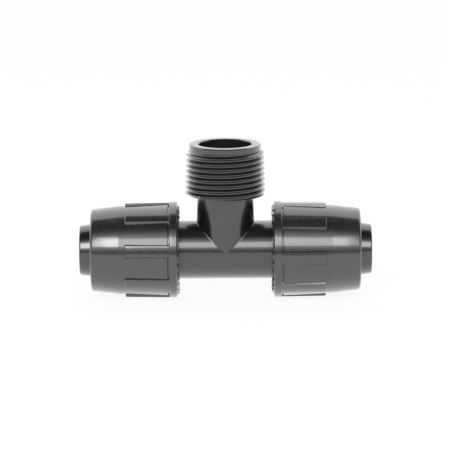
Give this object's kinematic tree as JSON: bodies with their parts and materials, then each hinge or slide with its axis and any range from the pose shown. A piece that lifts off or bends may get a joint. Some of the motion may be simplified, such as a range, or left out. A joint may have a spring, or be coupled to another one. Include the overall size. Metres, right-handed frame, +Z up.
{
  "type": "locking barbed tee connector",
  "caption": "Plastic tee for soft irrigation tube: barbed spigots with ribbed lock nuts on the run, male taper pipe thread on the branch.",
  "frame": {"origin": "where the run's axis and the branch's axis cross, at the middle of the run's bore", "axes": "+X along the run to the right-hand tube, +Z up the threaded branch, -Y the front"},
  "size_m": [0.098, 0.0326, 0.0525],
  "materials": {
    "body_plastic": "black injection-moulded polypropylene, satin to semi-gloss",
    "nut_plastic": "black injection-moulded polypropylene, semi-gloss",
    "ring_plastic": "natural acetal, moulded",
    "bush_plastic": "black polypropylene, moulded",
    "seal_rubber": "nitrile rubber"
  },
  "bodies": {
    "body": {"tee_run": "body_plastic", "tee_branch": "body_plastic", "right_o_ring": "seal_rubber", "left_o_ring": "seal_rubber"},
    "right_follower": {"right_grip_ring": "ring_plastic", "right_pressing_bush": "bush_plastic"},
    "right_nut": {"right_lock_nut": "nut_plastic"},
    "left_follower": {"left_grip_ring": "ring_plastic", "left_pressing_bush": "bush_plastic"},
    "left_nut": {"left_lock_nut": "nut_plastic"}
  },
  "joints": [
    {"name": "right_travel", "type": "slide", "parent": "body", "child": "right_follower", "axis": [1, 0, 0], "range_m": [0, 0.009]},
    {"name": "right_nut_turn", "type": "hinge", "parent": "right_follower", "child": "right_nut", "pos_m": [0.03, 0, 0], "axis": [1, 0, 0], "range_deg": [0, 1080]},
    {"name": "left_travel", "type": "slide", "parent": "body", "child": "left_follower", "axis": [-1, 0, 0], "range_m": [0, 0.009]},
    {"name": "left_nut_turn", "type": "hinge", "parent": "left_follower", "child": "left_nut", "pos_m": [-0.03, 0, 0], "axis": [-1, 0, 0], "range_deg": [0, 1080]}
  ],
  "couplings": [
    {"joint": "right_travel", "follows": "right_nut_turn", "m_per_rad": 0.00047746},
    {"joint": "left_travel", "follows": "left_nut_turn", "m_per_rad": 0.00047746}
  ]
}
